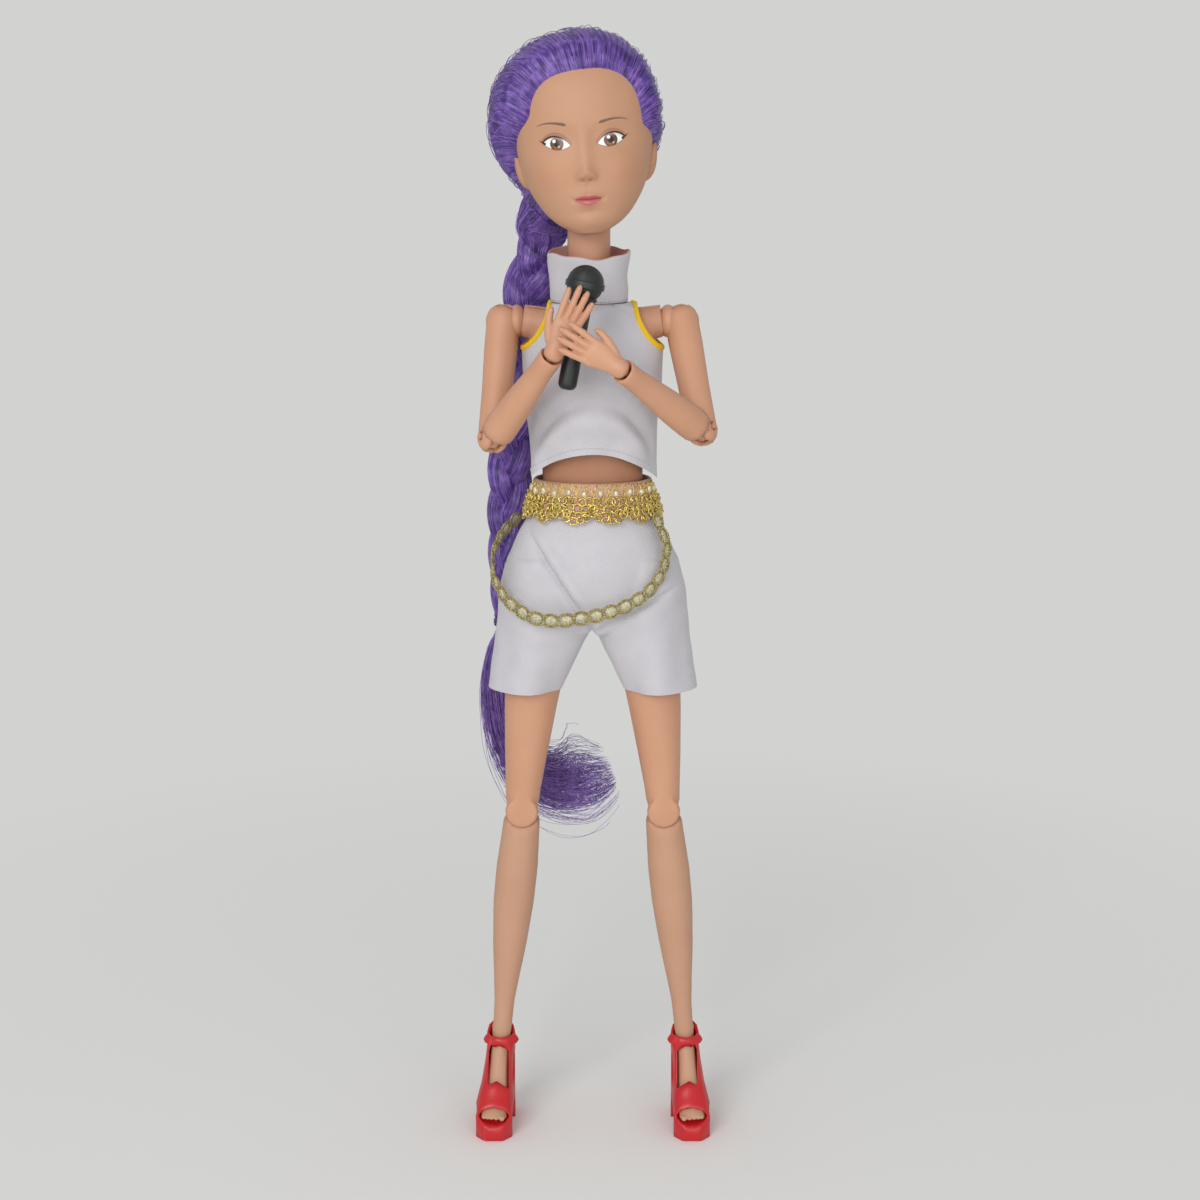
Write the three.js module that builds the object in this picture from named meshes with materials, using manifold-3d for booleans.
// A jointed fashion doll about 30 cm tall, standing in platform sandals and holding a toy microphone.
// Millimetres, +Z up. The doll faces -Y, so +X is its left side, and the floor under its soles is
// Z = 0. Its limbs turn on balls with stems at the shoulders and hips, on tongues and pins at the
// elbows and knees, and on small balls at the wrists and under the head.

import * as THREE from "three";
import { mergeVertices } from "three/addons/utils/BufferGeometryUtils.js";
import Module from "manifold-3d";

const wasm = await Module();
wasm.setup();

// Clearances shared by all the pieces.
const FIT = 0.35; // a ball, seat or peg to its neighbour
const SEAM = 0.3; // between two moulded halves

// The stretches of the body from the floor up, and the levels that they add up to.
const SOLE_THICKNESS = 4.4;
const ANKLE_LEVEL = 25; // how high the ankle stands in its sandal
const SHIN = 69.7;
const THIGH = 61.3;
const HIP_TO_WAIST = 44;
const WAIST_TO_SHOULDER = 29.5;
const SHOULDER_TO_NECK_TOP = 26.2;
const KNEE_LEVEL = ANKLE_LEVEL + SHIN;
const HIP_LEVEL = KNEE_LEVEL + THIGH;
const WAIST_LEVEL = HIP_LEVEL + HIP_TO_WAIST;
const SHOULDER_LEVEL = WAIST_LEVEL + WAIST_TO_SHOULDER;
const NECK_TOP = SHOULDER_LEVEL + SHOULDER_TO_NECK_TOP;

// Torso.
const PARTING = 0.5; // where the two halves of the chest meet
const WAIST_POST = 3;
const WAIST_FLANGE = 4.6;
const WAIST_POST_DEPTH = 17; // below the waist, in the lower torso
const WAIST_POST_RISE = 7; // above the waist, in the chest
const FLANGE_THICKNESS = 2.4;
const BUST_HALF = 6.7; // from the middle plane
const BUST_Y = -6.4;
const BUST_RISE = 13; // above the waist
const BUST_SIZE = new THREE.Vector3(6.8, 6, 6.6);

// Legs.
const HIP_HALF = 13.2; // from the middle plane to a hip ball
const KNEE_HALF = 19.6;
const ANKLE_HALF = 26.3;
const TOE_HALF = 28;
const HIP_Y = 0.5;
const ANKLE_Y = 3;
const THIGH_BALL = 9.6;
const HIP_BALL = 4.2;
const HIP_STEM = 1.6;
const HIP_STEM_REACH = 7.2; // how far a stem runs into the pelvis
const KNEE_DOME = 4.3;
const KNEE_TONGUE = 2.6;
const KNEE_BEND = THREE.MathUtils.degToRad(95);
const HIP_BACK = THREE.MathUtils.degToRad(15);
const HIP_FORWARD = THREE.MathUtils.degToRad(80);

// Sandals.
const STRAP = 0.9;
const ANKLE_BORE = 3.2; // the half width of the space in the ankle strap
const KNOB = 1.4;

// Arms.
const SHOULDER_HALF = 23.5;
const SHOULDER_Y = 1;
const SHOULDER_DOME = 4.9;
const ARM_RADIUS = 4.6;
const SHOULDER_BALL = 2.4;
const SHOULDER_STEM = 1.2;
const SHOULDER_STEM_REACH = 10;
const UPPER_ARM = 32.2;
const FOREARM = 34.3;
const ELBOW_DOME = 4.3;
const ELBOW_TONGUE = 2.4;
const WRIST_BALL = 1.5;
const WRIST_DOME = 2.6;
const WRIST_STEM = 0.75;
const WRIST_STEM_REACH = 7.5;
const PIN = 0.85;

// Where the hands are held, each with the way its fingers point and which side its thumb is on.
const RIGHT_WRIST = new THREE.Vector3(-9.6, -30, SHOULDER_LEVEL - 4.9);
const RIGHT_FINGERS = new THREE.Vector3(0.437, 0, 0.9).normalize();
const RIGHT_ELBOW_HINT = new THREE.Vector3(-25.2, -13, SHOULDER_LEVEL - 28);
const LEFT_WRIST = new THREE.Vector3(6.9, -35.6, SHOULDER_LEVEL - 8);
const LEFT_FINGERS = new THREE.Vector3(-0.87, 0, 0.5).normalize();
const LEFT_ELBOW_HINT = new THREE.Vector3(29.2, -15, SHOULDER_LEVEL - 26.5);
const PALM_LENGTH = 8.6;
const PALM_HALF_WIDTH = 3.5;
const FINGER = 0.92;
const FINGER_LENGTH = 9.6;

// Head, neck and hair.
const NECK_X = -0.9;
const NECK_RADIUS = 5.7;
const NOD_LEVEL = NECK_TOP + 5.6; // the ball that the head nods on
const HEAD_LEAN = THREE.MathUtils.degToRad(-4.6);
const PEG_BALL = 3.4;
const PEG_POST = 2;
const PEG_FOOT = 3;
const PEG_DEPTH = 10; // below the top of the neck
const PEG_FOOT_THICKNESS = 1.6;
const HAIR_TIE = 0.9;
const BRAID_HALF = 6.6;
const BRAID_TOP = NOD_LEVEL - 11.9;
const BRAID_LENGTH = 104.4;
const BRAID_PITCH = 12.6; // one lobe to each side
const TUFT_DROP = 38; // how far the loose end hangs below the lower tie

// Clothes.
const CLOTH = 0.55;
const ARMHOLE_CENTRE_X = 27;
const ARMHOLE_CENTRE_Z = SHOULDER_LEVEL + 6.5;
const ARMHOLE = 15.4;
const PIPING = 1.3;
const TOP_UPPER_EDGE = SHOULDER_LEVEL + 5.1;
const HEM_ARCH = 22.5;
const HEM_PEAK = WAIST_LEVEL - 4;
const HEM_FOLD = 0.45; // how far the folds at the hem of the top stand out
const COLLAR_HALF = 9.7;
const COLLAR_HEIGHT = 12.8;
const COLLAR_CLOTH = 0.9;
const SHORTS_LEG = 25.8; // from the hip to the hem
const SHORTS_HEM = HIP_LEVEL - SHORTS_LEG;
const SHORTS_TOP = WAIST_LEVEL - 13.4;
const CREASE = 0.4; // how far the creases of the shorts stand out
const BELT_TOP = WAIST_LEVEL - 12.2;
const BELT_HEIGHT = 8.2;
const BELT_THICKNESS = 0.9;
const SCALLOP = 1.7;
const SCALLOPS = 14;
const CHAIN_WIDTH = 3.2;

// Microphone.
const MIC_HEAD_AT = new THREE.Vector3(-1.7, -23.6, SHOULDER_LEVEL + 11.8);
const MIC_UP = new THREE.Vector3(0.178, 0.085, 0.98).normalize();
const MIC_HEAD = 5;
const MIC_HANDLE = 2.4;
const MIC_LENGTH = 27; // from the middle of the head to the foot of the handle

// How far each hand turns at its wrist, in degrees about an axis of its own.
const RIGHT_WRIST_RANGE = { axis: new THREE.Vector3(0, 1, 0), from: -18, to: 5 };
const LEFT_WRIST_RANGE = { axis: new THREE.Vector3(1, 0, 0), from: -45, to: 5 };

const SIDES = { right: -1, left: 1 };

const SKIN = { color: 0xe0a07c, roughness: 0.55, metalness: 0 };
const HAIR = { color: 0x6a3fb0, roughness: 0.45, metalness: 0 };
const WHITE_CLOTH = { color: 0xe6e4ea, roughness: 0.75, metalness: 0 };
const YELLOW_CLOTH = { color: 0xf2cc0e, roughness: 0.7, metalness: 0 };
const GOLD_LACE = { color: 0xb7952f, roughness: 0.4, metalness: 0.7 };
const CHAIN_THREAD = { color: 0xb4b96a, roughness: 0.45, metalness: 0.5 };
const RED_VINYL = { color: 0xc41c22, roughness: 0.4, metalness: 0 };
const BLACK_PLASTIC = { color: 0x14181a, roughness: 0.45, metalness: 0 };

const v = (x, y, z) => new THREE.Vector3(x, y, z);

// Solids

// A closed geometry as a manifold-3d solid, turned the right way out.
function solidOf(geometry, matrix) {
  const bare = new THREE.BufferGeometry().setAttribute(
    "position",
    geometry.getAttribute("position").clone(),
  );
  if (geometry.index) bare.setIndex(geometry.index.clone());
  if (matrix) bare.applyMatrix4(matrix);
  const merged = mergeVertices(bare, 1e-4);
  const points = merged.attributes.position.array;
  const triVerts = new Uint32Array(merged.index.array);
  const corner = [new THREE.Vector3(), new THREE.Vector3(), new THREE.Vector3()];
  let volume = 0;
  for (let i = 0; i < triVerts.length; i += 3) {
    corner.forEach((c, k) => c.fromArray(points, triVerts[i + k] * 3));
    volume += corner[0].dot(corner[1].clone().cross(corner[2]));
  }
  if (volume < 0)
    for (let i = 0; i < triVerts.length; i += 3)
      [triVerts[i + 1], triVerts[i + 2]] = [triVerts[i + 2], triVerts[i + 1]];
  return new wasm.Manifold(
    new wasm.Mesh({ numProp: 3, vertProperties: points, triVerts }),
  );
}

function geometryOf(solid) {
  const mesh = solid.getMesh();
  const points = new Float32Array(mesh.numVert * 3);
  for (let i = 0; i < mesh.numVert; i++)
    points.set(
      mesh.vertProperties.subarray(i * mesh.numProp, i * mesh.numProp + 3),
      i * 3,
    );
  const geometry = new THREE.BufferGeometry()
    .setAttribute("position", new THREE.BufferAttribute(points, 3))
    .setIndex(new THREE.BufferAttribute(mesh.triVerts, 1));
  geometry.computeVertexNormals();
  return geometry;
}

const unite = (first, ...rest) => rest.reduce((a, b) => a.add(b), first);
const carve = (first, ...rest) => rest.reduce((a, b) => a.subtract(b), first);

// A closed skin over rings that all have the same number of points, with a flat end at each ring.
function skin(rings) {
  const sides = rings[0].length;
  const points = rings.flat().flatMap((p) => [p.x, p.y, p.z]);
  const index = [];
  for (let r = 0; r + 1 < rings.length; r++)
    for (let i = 0; i < sides; i++) {
      const a = r * sides + i;
      const b = r * sides + ((i + 1) % sides);
      index.push(a, b, b + sides, a, b + sides, a + sides);
    }
  [0, rings.length - 1].forEach((r, end) => {
    const middle = rings[r]
      .reduce((sum, p) => sum.add(p), new THREE.Vector3())
      .divideScalar(sides);
    const hub = points.length / 3;
    points.push(middle.x, middle.y, middle.z);
    for (let i = 0; i < sides; i++) {
      const a = r * sides + i;
      const b = r * sides + ((i + 1) % sides);
      index.push(...(end ? [hub, a, b] : [hub, b, a]));
    }
  });
  const geometry = new THREE.BufferGeometry();
  geometry.setAttribute("position", new THREE.Float32BufferAttribute(points, 3));
  geometry.setIndex(index);
  return solidOf(geometry);
}

// Rows of numbers drawn out into count rows by a smooth curve through them.
function smooth(rows, count) {
  const at = (i) => rows[Math.min(rows.length - 1, Math.max(0, i))];
  return Array.from({ length: count }, (_, k) => {
    const t = (k / (count - 1)) * (rows.length - 1);
    const i = Math.min(rows.length - 2, Math.floor(t));
    const u = t - i;
    return rows[0].map((_, c) => {
      const [p, q, r, s] = [at(i - 1)[c], at(i)[c], at(i + 1)[c], at(i + 2)[c]];
      return (
        q +
        0.5 * u * (r - p + u * (2 * p - 5 * q + 4 * r - s + u * (3 * (q - r) + s - p)))
      );
    });
  });
}

// A cosine or sine drawn towards the corners of a square as the power falls below 1.
const squared = (c, power) => Math.sign(c) * Math.abs(c) ** power;

// An upright body from rows of [level, half width, depth in front, depth behind, middle x, middle y],
// with folds that push a turn and a level outwards.
function column(rows, sides, count = rows.length, power = 1, fold = () => 0) {
  return skin(
    smooth(rows, count).map(([z, w, f, b, x, y]) =>
      Array.from({ length: sides }, (_, i) => {
        const turn = (2 * Math.PI * i) / sides;
        const c = squared(Math.cos(turn), power);
        const s = squared(Math.sin(turn), power);
        const out = fold(turn, z);
        return new THREE.Vector3(x + (w + out) * c, y + ((s > 0 ? b : f) + out) * s, z);
      }),
    ),
  );
}

// Rows whose levels are written as shares of the way from one level to another.
const between = (low, high, rows) =>
  rows.map(([share, ...sizes]) => [low + share * (high - low), ...sizes]);

// The rows of a column made larger all round, and also longer at the first and last end if asked.
function grow(rows, by, first = by, last = by) {
  const up = Math.sign(rows.at(-1)[0] - rows[0][0]);
  const ends = { 0: -up * first, [rows.length - 1]: up * last };
  return rows.map(([z, w, f, b, x, y], i) => [z + (ends[i] ?? 0), w + by, f + by, b + by, x, y]);
}

// A bent body from rows of [x, y, z, half width along side, half thickness], square to its own line.
function bent(rows, sides, side = new THREE.Vector3(1, 0, 0), count = rows.length) {
  const drawn = smooth(rows, count);
  const middle = drawn.map((r) => new THREE.Vector3(r[0], r[1], r[2]));
  return skin(
    drawn.map(([, , , wide, thick], k) => {
      const along = middle[Math.min(k + 1, count - 1)]
        .clone()
        .sub(middle[Math.max(k - 1, 0)])
        .normalize();
      const up = along.clone().cross(side).normalize();
      const across = up.clone().cross(along).normalize();
      return Array.from({ length: sides }, (_, i) => {
        const turn = (2 * Math.PI * i) / sides;
        return middle[k]
          .clone()
          .addScaledVector(across, wide * Math.cos(turn))
          .addScaledVector(up, thick * Math.sin(turn));
      });
    }),
  );
}

// A band round the body from inner and outer outlines, each a function of the turn and the end.
function band(point, sides) {
  const points = [];
  const index = [];
  for (let i = 0; i < sides; i++) {
    const turn = (2 * Math.PI * i) / sides;
    for (const [out, high] of [
      [0, 0],
      [1, 0],
      [1, 1],
      [0, 1],
    ])
      points.push(...point(turn, out, high));
  }
  for (let i = 0; i < sides; i++)
    for (let k = 0; k < 4; k++) {
      const a = i * 4 + k;
      const b = i * 4 + ((k + 1) % 4);
      const c = ((i + 1) % sides) * 4 + k;
      const d = ((i + 1) % sides) * 4 + ((k + 1) % 4);
      index.push(a, c, b, b, c, d);
    }
  const geometry = new THREE.BufferGeometry();
  geometry.setAttribute("position", new THREE.Float32BufferAttribute(points, 3));
  geometry.setIndex(index);
  return solidOf(geometry);
}

const moved = (x, y, z) => new THREE.Matrix4().makeTranslation(x, y, z);

// A matrix that lays a thing made along +Z from the origin along the line from one point to another.
function laid(from, to) {
  const turn = new THREE.Quaternion().setFromUnitVectors(
    new THREE.Vector3(0, 0, 1),
    to.clone().sub(from).normalize(),
  );
  return new THREE.Matrix4().compose(from, turn, new THREE.Vector3(1, 1, 1));
}

function ball(radius, at, wide = 14, high = 9) {
  return solidOf(
    new THREE.SphereGeometry(radius, wide, high),
    moved(at.x, at.y, at.z),
  );
}

function egg(half, at, wide = 12, high = 8) {
  return solidOf(
    new THREE.SphereGeometry(1, wide, high).scale(half.x, half.y, half.z),
    moved(at.x, at.y, at.z),
  );
}

// A hollow and a bore are made as large as keeps their facets off what turns in them.
function hollow(radius, at, wide = 14, high = 9) {
  const inset = Math.cos(Math.PI / wide) * Math.cos(Math.PI / (2 * high));
  return ball(radius / inset, at, wide, high);
}

const bore = (radius, from, to, sides = 12) =>
  rod(radius / Math.cos(Math.PI / sides), from, to, sides);

function rod(radius, from, to, sides = 14, endRadius = radius) {
  const length = from.distanceTo(to);
  const geometry = new THREE.CylinderGeometry(endRadius, radius, length, sides)
    .rotateX(Math.PI / 2)
    .translate(0, 0, length / 2);
  return solidOf(geometry, laid(from, to));
}

function block(low, high, place = new THREE.Matrix4()) {
  const geometry = new THREE.BoxGeometry(high.x - low.x, high.y - low.y, high.z - low.z);
  geometry.translate((low.x + high.x) / 2, (low.y + high.y) / 2, (low.z + high.z) / 2);
  return solidOf(geometry, place);
}

// An outline in Y and Z given the same thickness to each side of x = 0.
function slab(shape, thickness, at, curveSegments = 6) {
  const geometry = new THREE.ExtrudeGeometry(shape, {
    depth: thickness,
    bevelEnabled: false,
    curveSegments,
  })
    .translate(0, 0, -thickness / 2)
    .applyMatrix4(new THREE.Matrix4().makeBasis(v(0, 1, 0), v(0, 0, 1), v(1, 0, 0)));
  return solidOf(geometry, moved(at.x, at.y, at.z));
}

// The outline that a bar of a given half width sweeps as it swings about one end, from straight
// down towards +Y.
function sweep(half, reach, from, to) {
  const along = (a) => new THREE.Vector2(Math.sin(a), -Math.cos(a));
  const across = (a) => new THREE.Vector2(Math.cos(a), Math.sin(a));
  const shape = new THREE.Shape();
  const corner = (a, r, h) => along(a).multiplyScalar(r).addScaledVector(across(a), h);
  const points = [corner(from, 0, -half), corner(from, reach, -half)];
  const steps = Math.ceil((to - from) / 0.35);
  for (let i = 1; i < steps; i++) {
    const a = from + ((to - from) * i) / steps;
    points.push(corner(a, reach / Math.cos((to - from) / steps / 2), 0));
  }
  points.push(corner(to, reach, half), corner(to, 0, half));
  shape.setFromPoints(points);
  return shape;
}

const doll = new THREE.Group();

function put(group, name, solid, finish) {
  const mesh = new THREE.Mesh(
    geometryOf(solid),
    new THREE.MeshStandardMaterial(finish),
  );
  mesh.name = name;
  group.add(mesh);
  return mesh;
}

// Hinge with a tongue and a pin, across local X, with the child hanging along local -Z

// The slot that a tongue swings in: round about the pin, and open over the swing.
function tongueSlot(at, dome, tongue, bend) {
  const half = tongue / 2 + FIT;
  const ends = [v(at.x - half, at.y, at.z), v(at.x + half, at.y, at.z)];
  return unite(
    bore(tongueRadius(dome) + FIT, ...ends, 12),
    slab(sweep(neckHalf(dome) + FIT, dome * 1.7, 0, bend), 2 * half, at),
  );
}

const tongueRadius = (dome) => dome * 0.62;
const neckHalf = (dome) => dome * 0.42;

// The tongue itself, from the pin down into the child.
function tongueOf(dome, thickness) {
  const half = thickness / 2;
  return carve(
    unite(
      rod(tongueRadius(dome), v(-half, 0, 0), v(half, 0, 0), 12),
      block(v(-half, -neckHalf(dome), -dome - 1.6), v(half, neckHalf(dome), 0)),
    ),
    bore(PIN + FIT, v(-half - 1, 0, 0), v(half + 1, 0, 0), 8),
  );
}

function pinHole(at, dome) {
  return bore(PIN + FIT, v(at.x - 2 * dome, at.y, at.z), v(at.x + 2 * dome, at.y, at.z), 8);
}

function pinOf(dome) {
  return rod(PIN, v(-dome + 0.2, 0, 0), v(dome - 0.2, 0, 0), 8);
}

// A cut as wide as a limb, from the hinge towards an angle, which lets the child fold against it.
function foldRelief(radius, angle) {
  const towards = v(0, Math.sin(angle), -Math.cos(angle));
  return unite(
    hollow(radius, v(0, 0, 0), 10, 7),
    bore(radius, v(0, 0, 0), towards.multiplyScalar(radius * 4), 10),
  );
}

// Torso

const chestRows = [
  [WAIST_LEVEL - SEAM / 2, 14.3, 8.7, 8.6, 0, 0],
  ...between(WAIST_LEVEL, SHOULDER_LEVEL, [
    [0.17, 15.3, 9.6, 8.8, 0, 0],
    [0.44, 16.7, 10.4, 9, 0, 0],
    [0.71, 17.2, 9.4, 8.8, 0, 0],
    [0.915, 16.8, 7.8, 7.8, 0, 0.3],
    [1.035, 15, 6.8, 6.8, -0.1, 0.6],
    [1.12, 11, 6.3, 6.4, -0.5, 0.4],
    [1.215, 6.6, 5.9, 6, NECK_X, 0],
    [1.355, NECK_RADIUS, NECK_RADIUS, NECK_RADIUS, NECK_X, 0],
  ]),
  [NECK_TOP, NECK_RADIUS, NECK_RADIUS, NECK_RADIUS, NECK_X, 0],
];

const shoulderAt = (side) => v(SIDES[side] * SHOULDER_HALF, SHOULDER_Y, SHOULDER_LEVEL);
const hipAt = (side) => v(SIDES[side] * HIP_HALF, HIP_Y, HIP_LEVEL);

// The post at the waist, whose flange is caught between the halves of the chest.
function waistPost(extra) {
  const shape = extra > 0 ? bore : rod;
  const foot = v(0, 0, WAIST_LEVEL - WAIST_POST_DEPTH - extra);
  const top = v(0, 0, WAIST_LEVEL + WAIST_POST_RISE + extra);
  const flangeFoot = v(0, 0, top.z - FLANGE_THICKNESS - 2 * extra);
  return unite(
    shape(WAIST_POST + extra, foot, top, 14),
    shape(WAIST_FLANGE + extra, flangeFoot, top, 14),
  );
}

// The peg in the neck, whose foot is caught in the same way.
function neckPeg(extra) {
  const shape = extra > 0 ? bore : rod;
  const foot = v(NECK_X, 0, NECK_TOP - PEG_DEPTH - extra);
  const footTop = v(NECK_X, 0, NECK_TOP - PEG_DEPTH + PEG_FOOT_THICKNESS + extra);
  return unite(
    shape(PEG_POST + extra, foot, v(NECK_X, 0, NOD_LEVEL), 10),
    shape(PEG_FOOT + extra, foot, footTop, 10),
  );
}

// The stem of a shoulder ball, running into the chest to its flange.
function shoulderStem(side, extra) {
  const shape = extra > 0 ? bore : rod;
  const at = shoulderAt(side);
  const inwards = (length) => v(at.x - SIDES[side] * length, at.y, at.z);
  const reach = SHOULDER_DOME + SHOULDER_STEM_REACH;
  return unite(
    shape(SHOULDER_STEM + extra, at, inwards(reach), 10),
    shape(
      2 * SHOULDER_STEM + extra,
      inwards(reach - FLANGE_THICKNESS / 2 - extra),
      inwards(reach + extra),
      10,
    ),
  );
}

function makeTorso() {
  const bust = [-1, 1].map((s) =>
    egg(BUST_SIZE, v(s * BUST_HALF, BUST_Y, WAIST_LEVEL + BUST_RISE), 8, 6),
  );
  const stubs = Object.values(SIDES).map((s) =>
    rod(
      SHOULDER_DOME - 0.5,
      v(s * 10, SHOULDER_Y, SHOULDER_LEVEL - 1),
      v(s * (SHOULDER_HALF - ARM_RADIUS - 1.5 * FIT), SHOULDER_Y, SHOULDER_LEVEL),
      12,
    ),
  );
  const cuts = Object.keys(SIDES).flatMap((side) => [
    hollow(SHOULDER_DOME + FIT, shoulderAt(side), 12, 8),
    shoulderStem(side, FIT),
  ]);
  const whole = carve(
    unite(column(chestRows, 18, 8), ...bust, ...stubs),
    ...cuts,
    waistPost(FIT),
    neckPeg(FIT),
  );
  const far = 60;
  const high = NECK_TOP + far;
  const front = block(v(-far, -far, 0), v(far, PARTING - SEAM / 2, high));
  const back = block(v(-far, PARTING + SEAM / 2, 0), v(far, far, high));
  put(doll, "chest_front", whole.intersect(front), SKIN);
  put(doll, "chest_back", whole.intersect(back), SKIN);
  put(doll, "waist_post", waistPost(0), SKIN);
  put(
    doll,
    "neck_peg",
    unite(neckPeg(0), ball(PEG_BALL, v(NECK_X, 0, NOD_LEVEL), 10, 7)),
    SKIN,
  );
  put(doll, "lower_torso", lowerTorso(), SKIN);
}

function lowerTorso() {
  const hips = column(
    [
      [WAIST_LEVEL - SEAM * 1.5, 14.2, 8.7, 8.6, 0, 0],
      ...between(HIP_LEVEL, WAIST_LEVEL, [
        [0.84, 13.6, 8.2, 8.3, 0, 0],
        [0.705, 13.6, 8.3, 8.5, 0, 0],
        [0.545, 14.4, 9, 9.6, 0, 0],
        [0.385, 17.2, 10.2, 11.4, 0, 0],
        [0.205, 20, 11, 12.8, 0, 0],
        [0.02, 20.6, 10.8, 13, 0, 0],
        [-0.1, 15, 8.6, 10.4, 0, 0.3],
        [-0.155, 6, 5, 6, 0, 0.5],
      ]),
    ],
    16,
    9,
  );
  const radius = THIGH_BALL + FIT;
  const openings = Object.keys(SIDES).flatMap((side) => {
    const at = hipAt(side);
    const s = SIDES[side];
    const wall = at.x - s * radius;
    const swung = slab(
      sweep(radius, 5 * THIGH_BALL, -HIP_FORWARD, HIP_BACK),
      4 * radius,
      v(wall + s * 2 * radius, at.y, at.z),
    );
    const stemEnd = v(at.x - s * (HIP_BALL + HIP_STEM_REACH + FIT), at.y, at.z);
    return [hollow(radius, at, 12, 7), swung, bore(HIP_STEM + FIT, at, stemEnd, 10)];
  });
  return carve(hips, waistPost(FIT), ...openings);
}

// Arms

// The elbow of an arm that reaches from the shoulder to the wrist, on the side of a hint.
function elbowOf(shoulder, wrist, hint) {
  const line = wrist.clone().sub(shoulder);
  const reach = line.length();
  line.normalize();
  const along = (UPPER_ARM ** 2 - FOREARM ** 2 + reach ** 2) / (2 * reach);
  const off = Math.sqrt(UPPER_ARM ** 2 - along ** 2);
  const foot = shoulder.clone().addScaledVector(line, along);
  const aside = hint.clone().sub(foot);
  aside.addScaledVector(line, -aside.dot(line)).normalize();
  return foot.addScaledVector(aside, off);
}

// Adds a group whose -Z runs down the limb and whose X is the hinge of the limb's far end.
function limbGroup(parent, at, down, hinge) {
  const z = down.clone().negate();
  const y = z.clone().cross(hinge).normalize();
  const group = new THREE.Group();
  group.applyMatrix4(new THREE.Matrix4().makeBasis(hinge, y, z).setPosition(at));
  return inside(parent, group);
}

function inside(parent, child) {
  parent.add(child);
  parent.updateMatrixWorld(true);
  return child;
}

const inverseOf = (group) => new THREE.Matrix4().copy(group.matrixWorld).invert();

function makeArm(side, wrist, fingers, hint, thumbSide, wristRange) {
  const s = SIDES[side];
  const shoulder = shoulderAt(side);
  const elbow = elbowOf(shoulder, wrist, hint);
  const down = elbow.clone().sub(shoulder).normalize();
  const fore = wrist.clone().sub(elbow).normalize();
  const hinge = down.clone().cross(fore).normalize();
  const bend = down.angleTo(fore);
  put(
    doll,
    "shoulder_ball_" + side,
    unite(ball(SHOULDER_BALL, shoulder, 8, 6), shoulderStem(side, 0)),
    SKIN,
  );

  const upper = limbGroup(doll, shoulder, down, hinge);
  const far = v(0, 0, -UPPER_ARM);
  const upperShape = unite(
    column(
      [
        [0, ARM_RADIUS, ARM_RADIUS, ARM_RADIUS, 0, 0],
        [-UPPER_ARM * 0.22, ARM_RADIUS, ARM_RADIUS, ARM_RADIUS, 0, 0],
        [-UPPER_ARM * 0.6, 4.2, 4.2, 4.2, 0, 0],
        [-UPPER_ARM, ELBOW_DOME - 0.2, ELBOW_DOME - 0.2, ELBOW_DOME - 0.2, 0, 0],
      ],
      10,
      4,
    ),
    ball(SHOULDER_DOME, v(0, 0, 0), 10, 7),
    ball(ELBOW_DOME, far, 10, 6),
  );
  // The stem needs a slot from the inner side to the top, for raising the arm.
  const slotHalf = SHOULDER_STEM + FIT;
  const slotReach = SHOULDER_DOME * 2;
  const slot = block(
    v(Math.min(s * slotHalf, -s * slotReach), -slotHalf, -slotHalf),
    v(Math.max(s * slotHalf, -s * slotReach), slotHalf, slotReach),
    inverseOf(upper).multiply(moved(shoulder.x, shoulder.y, shoulder.z)),
  );
  put(
    upper,
    "upper_arm_" + side,
    carve(
      upperShape,
      hollow(SHOULDER_BALL + FIT, v(0, 0, 0), 8, 6),
      slot,
      tongueSlot(far, ELBOW_DOME, ELBOW_TONGUE, bend),
      pinHole(far, ELBOW_DOME),
    ),
    SKIN,
  );
  const elbowGroup = inside(upper, new THREE.Group());
  elbowGroup.position.copy(far);
  put(elbowGroup, "elbow_pin_" + side, pinOf(ELBOW_DOME), SKIN);

  const foreGroup = inside(elbowGroup, new THREE.Group());
  foreGroup.rotation.x = bend;
  doll.updateMatrixWorld(true);
  const wristAt = v(0, 0, -FOREARM);
  const stemTop = v(0, 0, -FOREARM + WRIST_STEM_REACH);
  const foreShape = carve(
    column(
      [
        [-ELBOW_DOME * 0.45, 4.5, 4.5, 4.5, 0, 0],
        [-FOREARM * 0.2, 4.5, 4.6, 4.4, 0, 0],
        [-FOREARM * 0.45, 4.1, 4.2, 4, 0, 0],
        [-FOREARM * 0.75, 3.2, 3.3, 3.2, 0, 0],
        [-FOREARM + 1.2, WRIST_DOME + 0.6, WRIST_DOME + 0.7, WRIST_DOME + 0.6, 0, 0],
      ],
      10,
      6,
    ),
    foldRelief(ELBOW_DOME + FIT, Math.PI - bend),
    hollow(WRIST_DOME + FIT, wristAt, 10, 7),
    bore(WRIST_STEM + FIT, wristAt, v(0, 0, stemTop.z + FIT), 8),
  );
  put(
    foreGroup,
    "forearm_" + side,
    unite(foreShape, tongueOf(ELBOW_DOME, ELBOW_TONGUE)),
    SKIN,
  );
  put(
    foreGroup,
    "wrist_peg_" + side,
    unite(ball(WRIST_BALL, wristAt, 8, 6), rod(WRIST_STEM, wristAt, stemTop, 8)),
    SKIN,
  );

  const palmWay = v(0, 1, 0);
  const hand = new THREE.Group();
  const x = palmWay.clone().cross(fingers.clone().negate()).normalize();
  const worldPlace = new THREE.Matrix4()
    .makeBasis(x, palmWay, fingers.clone().negate())
    .setPosition(wrist);
  hand.applyMatrix4(inverseOf(foreGroup).multiply(worldPlace));
  inside(foreGroup, hand);
  doll.updateMatrixWorld(true);
  const stemWay = elbow.clone().sub(wrist).transformDirection(inverseOf(hand));
  put(hand, "hand_" + side, handShape(thumbSide, stemWay, wristRange), SKIN);
}

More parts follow.
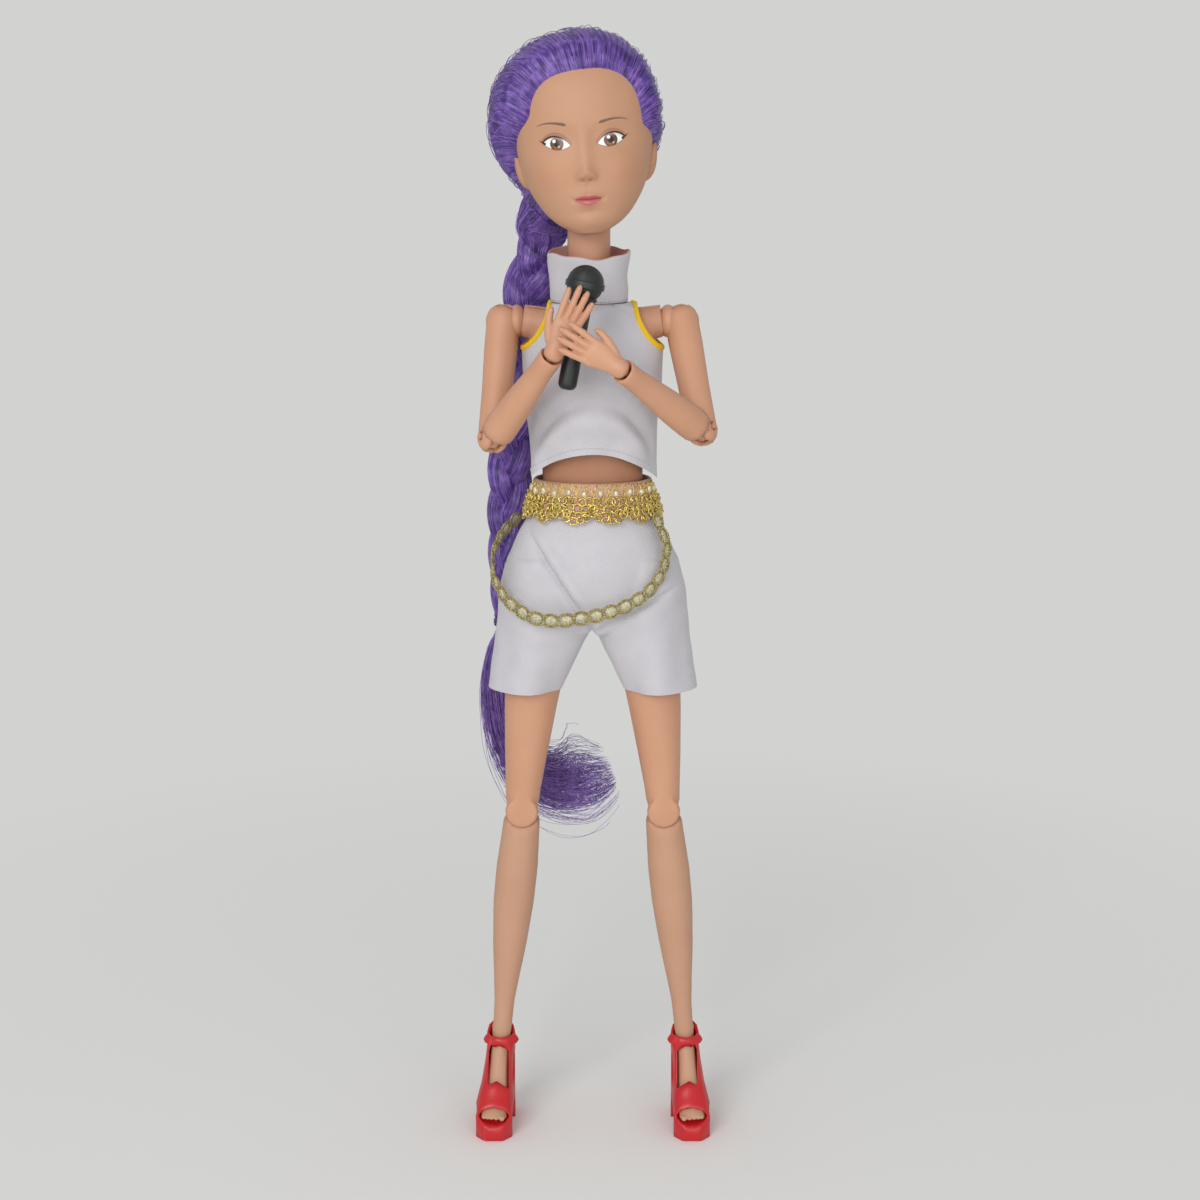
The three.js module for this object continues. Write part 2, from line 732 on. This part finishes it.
// A hand at its wrist: fingers down -Z, palm towards +Y, and the thumb to one side in X.
function handShape(thumbSide, stemWay, { axis, from, to }) {
  const t = thumbSide;
  const finger = (x, length, lean) =>
    bent(
      [
        [x, 0, -PALM_LENGTH + 1.8, FINGER, FINGER],
        [x + lean * 0.5, 0.15, -PALM_LENGTH - length * 0.45, FINGER, FINGER * 0.95],
        [x + lean * 0.95, 0.5, -PALM_LENGTH - length * 0.92, FINGER * 0.8, FINGER * 0.76],
        [x + lean, 0.6, -PALM_LENGTH - length, FINGER * 0.36, FINGER * 0.34],
      ],
      5,
    );
  const gap = PALM_HALF_WIDTH / 4;
  const shape = unite(
    ball(WRIST_DOME, v(0, 0, 0), 8, 5),
    bent(
      [
        [0, 0, 0.4, WRIST_DOME - 0.3, WRIST_DOME - 0.5],
        [0, 0, -2.4, WRIST_DOME, WRIST_DOME - 0.7],
        [t * 0.2, 0, -PALM_LENGTH * 0.6, PALM_HALF_WIDTH - 0.2, 1.6],
        [0, 0, -PALM_LENGTH + 0.6, PALM_HALF_WIDTH, 1.35],
        [0, 0.1, -PALM_LENGTH - 0.5, PALM_HALF_WIDTH - 0.4, 0.95],
      ],
      8,
    ),
    finger(t * 3 * gap, FINGER_LENGTH * 0.83, t * 0.9),
    finger(t * gap, FINGER_LENGTH, t * 0.3),
    finger(-t * gap, FINGER_LENGTH * 0.94, -t * 0.3),
    finger(-t * 3 * gap, FINGER_LENGTH * 0.73, -t * 0.8),
    bent(
      [
        [t * 1.6, 0.3, -2.2, 1.25, 1.2],
        [t * 3.6, 0.7, -4.6, 1.2, 1.1],
        [t * 5, 1.2, -8, 0.95, 0.9],
        [t * 5.4, 1.7, -10.2, 0.35, 0.35],
      ],
      5,
    ),
  );
  const steps = 2;
  const mouth = Array.from({ length: steps + 1 }, (_, i) => {
    const turn = THREE.MathUtils.degToRad(from + ((to - from) * i) / steps);
    const towards = stemWay.clone().applyAxisAngle(axis, -turn);
    return bore(WRIST_STEM + FIT, v(0, 0, 0), towards.multiplyScalar(2 * WRIST_DOME), 6);
  });
  return carve(shape, hollow(WRIST_BALL + FIT, v(0, 0, 0), 8, 6), ...mouth);
}

// Legs

function makeLeg(side) {
  const s = SIDES[side];
  const hip = hipAt(side);
  const stemEnd = v(hip.x - s * (HIP_BALL + HIP_STEM_REACH), hip.y, hip.z);
  put(
    doll,
    "hip_ball_" + side,
    unite(ball(HIP_BALL, hip, 8, 6), rod(HIP_STEM, hip, stemEnd, 8)),
    SKIN,
  );

  const thigh = inside(doll, new THREE.Group());
  thigh.position.copy(hip);
  doll.updateMatrixWorld(true);
  const drop = THIGH;
  const out = s * (KNEE_HALF - HIP_HALF);
  const knee = v(out, -HIP_Y, -drop);
  const thighShape = column(
    [
      [0, THIGH_BALL - 0.3, THIGH_BALL - 0.3, THIGH_BALL - 0.3, 0, 0],
      [-drop * 0.14, 9.1, 9, 9.1, out * 0.1, 0],
      [-drop * 0.28, 8.2, 8.2, 8.6, out * 0.3, 0],
      [-drop * 0.43, 7.4, 7.4, 7.7, out * 0.5, -0.1],
      [-drop * 0.62, 6.3, 6.4, 6.4, out * 0.7, -0.3],
      [-drop * 0.8, 5.2, 5.3, 5.2, out * 0.86, -0.4],
      [-drop * 0.93, KNEE_DOME + 0.1, KNEE_DOME + 0.2, KNEE_DOME + 0.1, out * 0.96, -0.5],
      [-drop, KNEE_DOME - 0.1, KNEE_DOME, KNEE_DOME, out, -HIP_Y],
    ],
    12,
    7,
  );
  const cap = rod(KNEE_DOME, v(knee.x, knee.y - KNEE_DOME + 0.15, knee.z), knee, 12);
  const slotHalf = HIP_STEM + FIT;
  const slotReach = 2 * THIGH_BALL;
  const stemSlot = block(
    v(Math.min(0, -s * slotReach), -slotHalf, -slotHalf - 0.6 * FIT - 1),
    v(Math.max(0, -s * slotReach), slotHalf, THIGH_BALL - 0.8),
  );
  put(
    thigh,
    "thigh_" + side,
    carve(
      unite(
        thighShape,
        ball(THIGH_BALL, v(0, 0, 0), 12, 6),
        ball(KNEE_DOME, knee, 10, 6),
        cap,
      ),
      hollow(HIP_BALL + FIT, v(0, 0, 0), 8, 6),
      stemSlot,
      tongueSlot(knee, KNEE_DOME, KNEE_TONGUE, KNEE_BEND),
      pinHole(knee, KNEE_DOME),
    ),
    SKIN,
  );

  const shin = inside(thigh, new THREE.Group());
  shin.position.copy(knee);
  doll.updateMatrixWorld(true);
  put(shin, "knee_pin_" + side, pinOf(KNEE_DOME), SKIN);

  const ankle = v(s * (ANKLE_HALF - KNEE_HALF), ANKLE_Y, ANKLE_LEVEL - KNEE_LEVEL);
  const seat = unite(
    foldRelief(KNEE_DOME + 1.5 * FIT, Math.PI - KNEE_BEND),
    bore(KNEE_DOME + FIT, v(0, -3 * KNEE_DOME, 0), v(0, 0, 0), 12),
  );
  put(
    shin,
    "lower_leg_" + side,
    unite(
      carve(shinShape(ankle), seat),
      footShape(ankle, s, 0),
      ...toesOf(ankle, s),
      tongueOf(KNEE_DOME, KNEE_TONGUE),
    ),
    SKIN,
  );
  put(shin, "sandal_" + side, sandalShape(ankle, s), RED_VINYL);
}

function shinShape(ankle) {
  const out = ankle.x;
  const drop = -ankle.z;
  return column(
    [
      [-KNEE_DOME * 0.4, 4.55, 4.5, 4.6, 0, 0.1],
      [-drop * 0.12, 4.9, 4.8, 5.2, out * 0.1, 0.6],
      [-drop * 0.25, 5.4, 5, 5.9, out * 0.24, 1.2],
      [-drop * 0.4, 5.3, 5, 5.8, out * 0.4, 1.6],
      [-drop * 0.58, 4.4, 4.3, 4.7, out * 0.58, 2.1],
      [-drop * 0.84, 2.95, 3.05, 3.05, out * 0.84, 2.7],
      [-drop - 1, 2.7, 2.75, 2.75, out, ANKLE_Y],
    ],
    10,
    7,
  );
}

// The arched foot as a moulded part of the leg, made larger all round by extra.
function footShape(ankle, s, extra) {
  const toe = s * (TOE_HALF - ANKLE_HALF);
  const drop = -ankle.z;
  const instep = bent(
    [
      [0, 0, 3.4, 2.6, 2.6],
      [0, 0.1, -0.5, 2.6, 2.8],
      [toe * 0.2, -0.8, -4.6, 2.8, 3.5],
      [toe * 0.45, -3.2, -9.2, 3, 3.2],
      [toe * 0.75, -6.4, -13.6, 3.5, 2.5],
      [toe, -9.6, -16.9, 4.1, 1.9],
      [toe, -13.2, -18.8, 3.6, 1.1],
    ].map(([x, y, z, w, t]) => [x + ankle.x, y + ankle.y, z - drop, w + extra, t + extra]),
    8,
    v(1, 0, 0),
    6,
  );
  const heel = egg(
    v(2.8 + extra, 3 + extra, 3.8 + extra),
    v(ankle.x, ankle.y + 2.2, ankle.z - 4.6),
    8,
    6,
  );
  return unite(instep, heel);
}

function toesOf(ankle, s) {
  const toe = ankle.x + s * (TOE_HALF - ANKLE_HALF);
  return [-2.3, -0.7, 0.6, 1.75, 2.8].map((x, i) =>
    egg(
      v(i ? 0.72 : 1.05, 1.4, i ? 0.75 : 0.95),
      v(toe + s * x, ankle.y - 13.7 + 0.25 * i, ankle.z - 18.6),
      5,
      4,
    ),
  );
}

// A platform sandal moulded in one piece: sole and heel, toe band, side panels and ankle strap.
function sandalShape(ankle, s) {
  const floor = ankle.z - ANKLE_LEVEL;
  const toe = ankle.x + s * (TOE_HALF - ANKLE_HALF);
  const y = (forward) => ankle.y - forward;
  const tip = y(16.6);
  const profile = new THREE.Shape();
  profile.moveTo(y(15.2), 0);
  profile.quadraticCurveTo(tip, 0.5, tip, 2.6);
  profile.quadraticCurveTo(tip, SOLE_THICKNESS + 0.9, y(14.8), SOLE_THICKNESS + 0.9);
  profile.lineTo(y(9.4), 7.6);
  profile.bezierCurveTo(y(6.4), 10, y(2.6), 15.6, y(-1.8), 20);
  profile.lineTo(y(-6.2), 21.8);
  profile.bezierCurveTo(y(-7.4), 16, y(-6.2), 7, y(-5.8), 0);
  profile.lineTo(y(0.2), 0);
  profile.bezierCurveTo(y(-0.6), 6, y(0.8), 11, y(4), 6.6);
  profile.quadraticCurveTo(y(6.6), 2.2, y(7.6), 0);
  const outline = new THREE.Shape();
  outline.moveTo(ankle.x, y(-7.6));
  outline.bezierCurveTo(ankle.x + 4.3, y(-7.6), ankle.x + 3.9, y(-2), ankle.x + 3.9, y(3));
  outline.bezierCurveTo(toe + 4.3, y(6.6), toe + 5.2, y(9), toe + 5.2, y(12.4));
  outline.bezierCurveTo(toe + 5, y(17.2), toe - 5, y(17.2), toe - 5.2, y(12.4));
  outline.bezierCurveTo(toe - 5.2, y(9), toe - 4.3, y(6.6), ankle.x - 3.9, y(3));
  outline.bezierCurveTo(ankle.x - 3.9, y(-2), ankle.x - 4.3, y(-7.6), ankle.x, y(-7.6));
  const footprint = solidOf(
    new THREE.ExtrudeGeometry(outline, { depth: 26, bevelEnabled: false, curveSegments: 3 }),
    moved(0, 0, floor),
  );
  const sole = slab(profile, 30, v(toe, 0, floor), 4).intersect(footprint);
  const cover = footShape(ankle, s, FIT + STRAP);
  const far = 40;
  const toeBand = cover.intersect(
    block(v(-far, y(12.9), floor + 3.2), v(far, y(8.4), ankle.z)),
  );
  const panels = cover
    .intersect(block(v(-far, y(10.5), floor + 6), v(far, far, ankle.z + 1)))
    .subtract(slab(instepOpening(y, ankle.z), 5.6, v(ankle.x + s * 0.5, 0, 0)));
  const strapAt = (level) => v(ankle.x, ankle.y, ankle.z + level);
  const strapHalf = ANKLE_BORE + STRAP;
  const strap = rod(strapHalf, strapAt(-3.1), strapAt(1.3), 12);
  const counter = rod(strapHalf, strapAt(-3.1), strapAt(3.6), 12).intersect(
    slab(counterSide(y, ankle.z), 2 * strapHalf, v(ankle.x, 0, 0)),
  );
  const knobs = [-1, 1].map((k) =>
    ball(KNOB, v(ankle.x + k * (strapHalf - 0.3), ankle.y - 0.6, ankle.z - 0.6), 6, 5),
  );
  const toeRoom = (forward) => [toe, y(forward), floor + 6.5, 4.2, 2.2];
  return carve(
    unite(sole, toeBand, panels, strap, counter, ...knobs),
    footShape(ankle, s, 2.4 * FIT),
    bore(ANKLE_BORE, strapAt(-4), strapAt(5)),
    bent([toeRoom(20), toeRoom(11)], 10),
  );
}

// The side view of the space over the instep, between the toe band and the ankle strap.
function instepOpening(y, ankleZ) {
  const shape = new THREE.Shape();
  shape.moveTo(y(8.4), ankleZ - 20);
  shape.lineTo(y(24), ankleZ - 20);
  shape.lineTo(y(24), ankleZ + 4);
  shape.lineTo(y(0), ankleZ + 4);
  shape.lineTo(y(0), ankleZ - 5);
  return shape;
}

// The side view of the strap where it rises behind the ankle.
function counterSide(y, ankleZ) {
  const shape = new THREE.Shape();
  shape.moveTo(y(0.4), ankleZ + 1.2);
  shape.lineTo(y(-3), ankleZ + 3.6);
  shape.lineTo(y(-6), ankleZ + 3.6);
  shape.lineTo(y(-6), ankleZ - 3);
  shape.lineTo(y(0.4), ankleZ - 3);
  return shape;
}

// Head and hair, in a group at the ball under the head

const headRows = [
  [-8, 4.2, 4.2, 4.4, 0, -8.8],
  [-5.6, 8.4, 8, 8.8, 0, -6.5],
  [-2.2, 11.8, 11.4, 12.2, 0, -3.8],
  [3.6, 15.2, 14.6, 15.8, 0, -1.1],
  [12, 17.4, 16.2, 18.1, 0, 0],
  [21, 17.8, 16.2, 18.3, 0, 0],
  [29.6, 16.2, 14.8, 17, 0, 0.1],
  [35.8, 11.8, 11, 12.8, 0, 0.4],
  [39.4, 5, 4.8, 5.6, 0, 0.8],
];

const hairRows = [
  [-8, 7.6, 4, 8, -3.4, 8],
  [-3.7, 11.8, 9, 14, -2.6, 4.6],
  [3.3, 17, 14.6, 19, -1.8, 1.6],
  [11.3, 21.4, 18, 21.8, -1.9, 0.3],
  [20.3, 22.2, 18.6, 22.4, -1.9, 0],
  [29.3, 20.6, 17, 20.8, -1.5, 0],
  [36.3, 16.2, 13.6, 16.4, -0.9, 0.2],
  [40.3, 11, 9.8, 11.4, -0.4, 0.4],
  [42.5, 4, 3.8, 4.4, 0, 0.6],
];

function makeHead() {
  const group = inside(doll, new THREE.Group());
  group.position.set(NECK_X, 0, NOD_LEVEL);
  group.rotation.y = HEAD_LEAN;
  doll.updateMatrixWorld(true);
  const ear = (k, extra) =>
    egg(v(1.9 + extra, 2.6 + extra, 5 + extra), v(k * 16.9, 2.2, 7.2), 8, 6);
  const nose = bent(
    [
      [0, -15.6, 13.6, 0.9, 0.8],
      [0, -16.6, 10, 1.1, 1],
      [0, -17.4, 6.8, 1.7, 1.5],
      [0, -16.4, 5.1, 1.5, 1],
    ],
    8,
  );
  const lips = egg(v(3, 1.3, 1.3), v(0, -14.9, 0.4), 8, 5);
  const chin = egg(v(4.8, 4, 3.5), v(0, -10.4, -4.8), 10, 6);
  const neckHole = unite(
    hollow(PEG_BALL + FIT, v(0, 0, 0), 12, 8),
    bore(NECK_RADIUS + 1.3, v(0, 0, -20), v(0, 0, NECK_TOP - NOD_LEVEL + 2.2), 14),
    rod(PEG_POST + 2, v(0, 0, -6), v(0, 0, 0), 12, PEG_POST + 0.6),
  );
  put(
    group,
    "head",
    carve(
      unite(column(headRows, 16, 9), ear(-1, 0), ear(1, 0), nose, lips, chin),
      neckHole,
    ),
    SKIN,
  );

  // The hair is drawn back off a high hairline and behind the ears, and gathers at the nape on
  // the right.
  const face = new THREE.Shape();
  face.moveTo(-17.2, 4);
  face.lineTo(-17.2, 18);
  face.bezierCurveTo(-17.2, 31, -13, 34.9, 0, 34.9);
  face.bezierCurveTo(13, 34.9, 17.2, 31, 17.2, 18);
  face.lineTo(17.2, 4);
  const opening = solidOf(
    new THREE.ExtrudeGeometry(face, { depth: 60, bevelEnabled: false, curveSegments: 5 })
      .rotateX(Math.PI / 2)
      .translate(0, 1.4, 0),
  );
  const sides = block(v(-30, -40, -30), v(30, 5.2, 12.6));
  const top = tieSeat(braidLine[0], braidLine[1]);
  const past = (distance) =>
    group.worldToLocal(top.seat.clone().addScaledVector(top.away, distance));
  const end = past(HAIR_TIE + SEAM);
  const near = past(HAIR_TIE + 4);
  const gather = bent(
    [
      [-3, 9.6, 4, 9.4, 6.4],
      [-8, 13, -0.6, 9.2, 6.6],
      [near.x * 0.92, near.y - 1.4, near.z + 2.4, 8.2, 6.2],
      [near.x, near.y, near.z, 7, 5.6],
      [end.x, end.y, end.z, BRAID_HALF * 0.86, BRAID_HALF * 0.76],
    ],
    8,
  );
  put(
    group,
    "hair_cap",
    carve(
      unite(carve(column(hairRows, 16, 8), opening, sides), gather),
      column(grow(headRows, 2.2 * FIT), 16, 9),
      ear(-1, FIT),
      ear(1, FIT),
      bore(NECK_RADIUS + 2.4, v(0, 0, -20), v(0, 0, 4), 12),
    ),
    HAIR,
  );
}

// The plait's line and how full it is, at shares of its length from the top.
const braidLine = [
  [-13.6, 17.4, 0, 0.84],
  [-14.6, 17.9, 0.05, 0.98],
  [-17, 18.2, 0.13, 1],
  [-19.4, 18.2, 0.26, 1],
  [-21.2, 17.9, 0.435, 0.94],
  [-22.7, 17.3, 0.605, 0.86],
  [-23.8, 16.8, 0.76, 0.74],
  [-24.6, 16.4, 0.895, 0.56],
  [-25.1, 16, 1, 0.36],
].map(([x, y, share, size]) => [x, y, BRAID_TOP - share * BRAID_LENGTH, size]);

function makeBraid() {
  // A plait shows as lobes that lean out to one side and the other in turn.
  const drawn = smooth(braidLine, 39);
  let run = 0;
  const rows = drawn.map(([x, y, z, size], i) => {
    if (i) run += Math.hypot(x - drawn[i - 1][0], y - drawn[i - 1][1], z - drawn[i - 1][2]);
    const half = BRAID_HALF * size;
    const wave = Math.sin((2 * Math.PI * run) / BRAID_PITCH) * Math.min(1, run / BRAID_PITCH);
    return [x + 0.2 * half * wave, y, z, half * 0.94, half * 0.8];
  });
  put(doll, "braid", bent(rows, 8), HAIR);
  tieAt("hair_tie_top", braidLine[0], braidLine[1]);
  tieAt("hair_tie_bottom", braidLine.at(-1), braidLine.at(-2));
  const [x, y, z] = braidLine.at(-1);
  const below = z - 2 * HAIR_TIE - 2 * FIT - 2 * SEAM;
  const tail = bent(
    [
      [x, y, below, 1.4, 1.3],
      [x - 0.6, y, below - TUFT_DROP * 0.1, 2.2, 1.8],
      [x - 1.7, y, below - TUFT_DROP * 0.34, 3.6, 2.2],
      [x + 0.4, y + 0.6, below - TUFT_DROP * 0.66, 5.2, 2.2],
      [x + 7.6, y + 1.4, below - TUFT_DROP * 0.92, 6.8, 2],
      [x + 17, y + 2, below - TUFT_DROP, 7.4, 1.5],
      [x + 28, y + 2.2, below - TUFT_DROP * 0.93, 4.4, 0.8],
    ],
    8,
    v(0.4, 0, 1),
    10,
  );
  put(doll, "braid_tail", tail, HAIR);
}

// Where a tie sits past one end of the plait, and the way on from there.
function tieSeat([x, y, z], [nextX, nextY, nextZ]) {
  const end = v(x, y, z);
  const away = end.clone().sub(v(nextX, nextY, nextZ)).normalize();
  return { seat: end.addScaledVector(away, HAIR_TIE + FIT + SEAM), away };
}

// A ring of thread round the hair there.
function tieAt(name, end, next) {
  const size = end[3];
  const { seat, away } = tieSeat(end, next);
  const hole = BRAID_HALF * size * 0.7;
  const ring = new THREE.LatheGeometry(
    Array.from({ length: 6 }, (_, i) => {
      const turn = (2 * Math.PI * (i % 5)) / 5;
      return new THREE.Vector2(
        hole + HAIR_TIE * (1 + Math.cos(turn)),
        HAIR_TIE * Math.sin(turn),
      );
    }),
    12,
  ).rotateX(Math.PI / 2);
  put(doll, name, solidOf(ring, laid(seat, seat.clone().add(away))), HAIR);
}

// Clothes

const topRows = [
  ...between(WAIST_LEVEL, SHOULDER_LEVEL, [
    [-0.54, 16.4, 11.4, 10.8, 0, 0],
    [-0.305, 16.3, 11.8, 10.5, 0, 0],
    [-0.07, 16.4, 12.6, 10.5, 0, 0],
    [0.17, 17, 14.2, 10.2, 0, 0],
    [0.44, 17.8, 14.9, 10, 0, 0],
    [0.68, 18.1, 13, 9.8, 0, 0],
    [0.88, 18.3, 10.2, 9.6, 0, 0.3],
    [1.035, 17.3, 8.6, 8.6, -0.1, 0.6],
    [1.12, 13.6, 7.8, 7.9, -0.5, 0.4],
  ]),
  [TOP_UPPER_EDGE, 10, 7.4, 7.4, NECK_X, 0],
];

// The cloth of the top is drawn in under the bust and stands out in soft folds at the hem.
const topFold = (turn, level) =>
  HEM_FOLD *
  Math.cos(7 * turn) *
  THREE.MathUtils.smoothstep(level, WAIST_LEVEL + 6, WAIST_LEVEL - 10);

function makeTop() {
  const count = 8;
  const sides = 24;
  const power = 0.94;
  const inner = grow(topRows, 0, 1, 1);
  const shell = carve(
    column(grow(topRows, CLOTH, 0, 0), sides, count, power, topFold),
    column(inner, sides, count, power, topFold),
    rod(HEM_ARCH, v(0, -40, HEM_PEAK - HEM_ARCH), v(0, 40, HEM_PEAK - HEM_ARCH), 32),
  );
  const through = (radius, s) =>
    rod(
      radius,
      v(s * ARMHOLE_CENTRE_X, -40, ARMHOLE_CENTRE_Z),
      v(s * ARMHOLE_CENTRE_X, 40, ARMHOLE_CENTRE_Z),
      28,
    );
  const edge = ARMHOLE + PIPING;
  put(
    doll,
    "crop_top",
    carve(shell, through(edge + SEAM, 1), through(edge + SEAM, -1)),
    WHITE_CLOTH,
  );
  for (const side of Object.keys(SIDES)) {
    const s = SIDES[side];
    const trim = carve(shell.intersect(through(edge, s)), through(ARMHOLE, s));
    put(doll, "armhole_trim_" + side, trim, YELLOW_CLOTH);
  }
  put(
    doll,
    "collar",
    band((turn, out, high) => {
      const wide = COLLAR_HALF + 0.5 * high + out * COLLAR_CLOTH;
      const level = high * (COLLAR_HEIGHT + 1.1 * Math.sin(turn));
      return [
        NECK_X + wide * Math.cos(turn),
        (wide - 0.6) * Math.sin(turn),
        TOP_UPPER_EDGE + SEAM + level,
      ];
    }, 28),
    WHITE_CLOTH,
  );
}

const hipRows = [
  [SHORTS_TOP, 14.6, 9.3, 9.7, 0, 0],
  ...between(HIP_LEVEL, WAIST_LEVEL, [
    [0.59, 15, 9.8, 10.3, 0, 0],
    [0.5, 16.6, 10.9, 11.8, 0, 0],
    [0.365, 19.8, 12.4, 13.9, 0, 0],
    [0.205, 22.6, 13.2, 14.9, 0, 0],
    [0.025, 23.8, 13.2, 14.9, 0, 0.2],
    [-0.115, 22.8, 12, 13.6, 0, 0.4],
    [-0.19, 20, 10, 11.4, 0, 0.5],
  ]),
];

const shortLegRows = (s) =>
  between(HIP_LEVEL, SHORTS_HEM, [
    [-0.41, 9.4, 11.2, 12.8, s * 13, 0.4],
    [-0.08, 10.8, 12.4, 13.8, s * 13.6, 0.4],
    [0.245, 10.8, 12.1, 13.2, s * 14.2, 0.4],
    [0.61, 10, 11, 11.8, s * 15.6, 0.3],
    [1, 9.5, 10.4, 10.9, s * 17.2, 0.2],
  ]);

function makeShorts() {
  // Broad creases run down the legs to the hem.
  const crease = (turn, level) =>
    CREASE *
    Math.cos(5 * turn + 0.6) *
    THREE.MathUtils.smoothstep(level, HIP_LEVEL + 4, SHORTS_HEM + 6);
  const leg = (s, extra, past) =>
    column(grow(shortLegRows(s), extra, 0, past), 15, 4, 1, (turn, level) =>
      crease(s > 0 ? turn : Math.PI - turn, level),
    );
  const hips = (extra, above) => column(grow(hipRows, extra, above, extra), 18, 6);
  const outer = unite(hips(CLOTH, 0), leg(-1, CLOTH, 0), leg(1, CLOTH, 0));
  const inner = unite(hips(0, 1), leg(-1, 0, 1), leg(1, 0, 1));
  put(doll, "shorts", outer.subtract(inner), WHITE_CLOTH);
  const [, wide, front, behind] = hipRows[0];
  put(
    doll,
    "lace_belt",
    band((turn, out, high) => {
      const gap = CLOTH + 2.5 * SEAM + out * BELT_THICKNESS;
      const spread = high ? 0 : 1.7;
      const s = Math.sin(turn);
      const level = high
        ? BELT_TOP
        : BELT_TOP - BELT_HEIGHT - SCALLOP * Math.abs(Math.sin((SCALLOPS * turn) / 2));
      return [
        (wide + gap + spread) * Math.cos(turn),
        ((s > 0 ? behind : front) + gap + spread) * s,
        level,
      ];
    }, SCALLOPS * 3),
    GOLD_LACE,
  );
}

// The chain's own line, chosen where it hangs over the front of the shorts, from the hips up.
const chainLine = [
  [17.8, -8.8, 19.4],
  [19.8, -10, 14.4],
  [18.6, -12.2, 9],
  [14.9, -15.1, 4],
  [9.4, -17, 0.6],
  [3.2, -17.4, -1.6],
  [-3.6, -17.4, -3],
  [-10.4, -17.4, -3.6],
  [-16.6, -16.4, -2.6],
  [-22, -13.4, 0.4],
  [-25.6, -9.2, 4.6],
  [-27, -4, 9.4],
  [-26, 1.6, 13.4],
  [-23.4, 6.6, 16.6],
  [-20, 10.4, 19.4],
].map(([x, y, rise]) => v(x, y, HIP_LEVEL + rise));

function makeChain() {
  const line = new THREE.CatmullRomCurve3(chainLine);
  const section = new THREE.Shape();
  section.absellipse(0, 0, CHAIN_WIDTH / 2, CHAIN_WIDTH / 2, 0, 2 * Math.PI);
  const tube = new THREE.ExtrudeGeometry(section, {
    steps: 20,
    curveSegments: 4,
    extrudePath: line,
  });
  put(doll, "hip_chain", solidOf(tube), CHAIN_THREAD);
}

// Microphone, in a group along its own axis

function makeMicrophone() {
  const group = inside(doll, new THREE.Group());
  group.applyMatrix4(laid(MIC_HEAD_AT, MIC_HEAD_AT.clone().add(MIC_UP)));
  const collarLevel = -MIC_HEAD * 0.72;
  const foot = -MIC_LENGTH;
  const handle = new THREE.LatheGeometry(
    [
      [0, foot],
      [MIC_HANDLE * 0.6, foot + 0.2],
      [MIC_HANDLE * 0.93, foot + 0.9],
      [MIC_HANDLE, foot + 2.2],
      [MIC_HANDLE * 1.1, collarLevel - 3],
      [MIC_HANDLE * 1.45, collarLevel - 0.6],
      [MIC_HANDLE * 1.45, collarLevel - SEAM],
      [0, collarLevel - SEAM],
    ].map(([r, h]) => new THREE.Vector2(r, h)),
    16,
  ).rotateX(Math.PI / 2);
  const head = unite(
    ball(MIC_HEAD * 0.94, v(0, 0, 0), 12, 7),
    rod(MIC_HEAD, v(0, 0, -1.1), v(0, 0, 0.5), 14),
  ).subtract(block(v(-9, -9, -9), v(9, 9, collarLevel)));
  put(group, "microphone_handle", solidOf(handle), BLACK_PLASTIC);
  put(group, "microphone_head", head, BLACK_PLASTIC);
}

makeTorso();
makeArm("right", RIGHT_WRIST, RIGHT_FINGERS, RIGHT_ELBOW_HINT, 1, RIGHT_WRIST_RANGE);
makeArm("left", LEFT_WRIST, LEFT_FINGERS, LEFT_ELBOW_HINT, -1, LEFT_WRIST_RANGE);
makeLeg("right");
makeLeg("left");
makeHead();
makeBraid();
makeTop();
makeShorts();
makeChain();
makeMicrophone();

// The frame's origin is on the floor, in the middle of the doll's width and depth.
const extent = new THREE.Box3().setFromObject(doll, true);
doll.position.set(
  -(extent.min.x + extent.max.x) / 2,
  -(extent.min.y + extent.max.y) / 2,
  -extent.min.z,
);

export default doll;
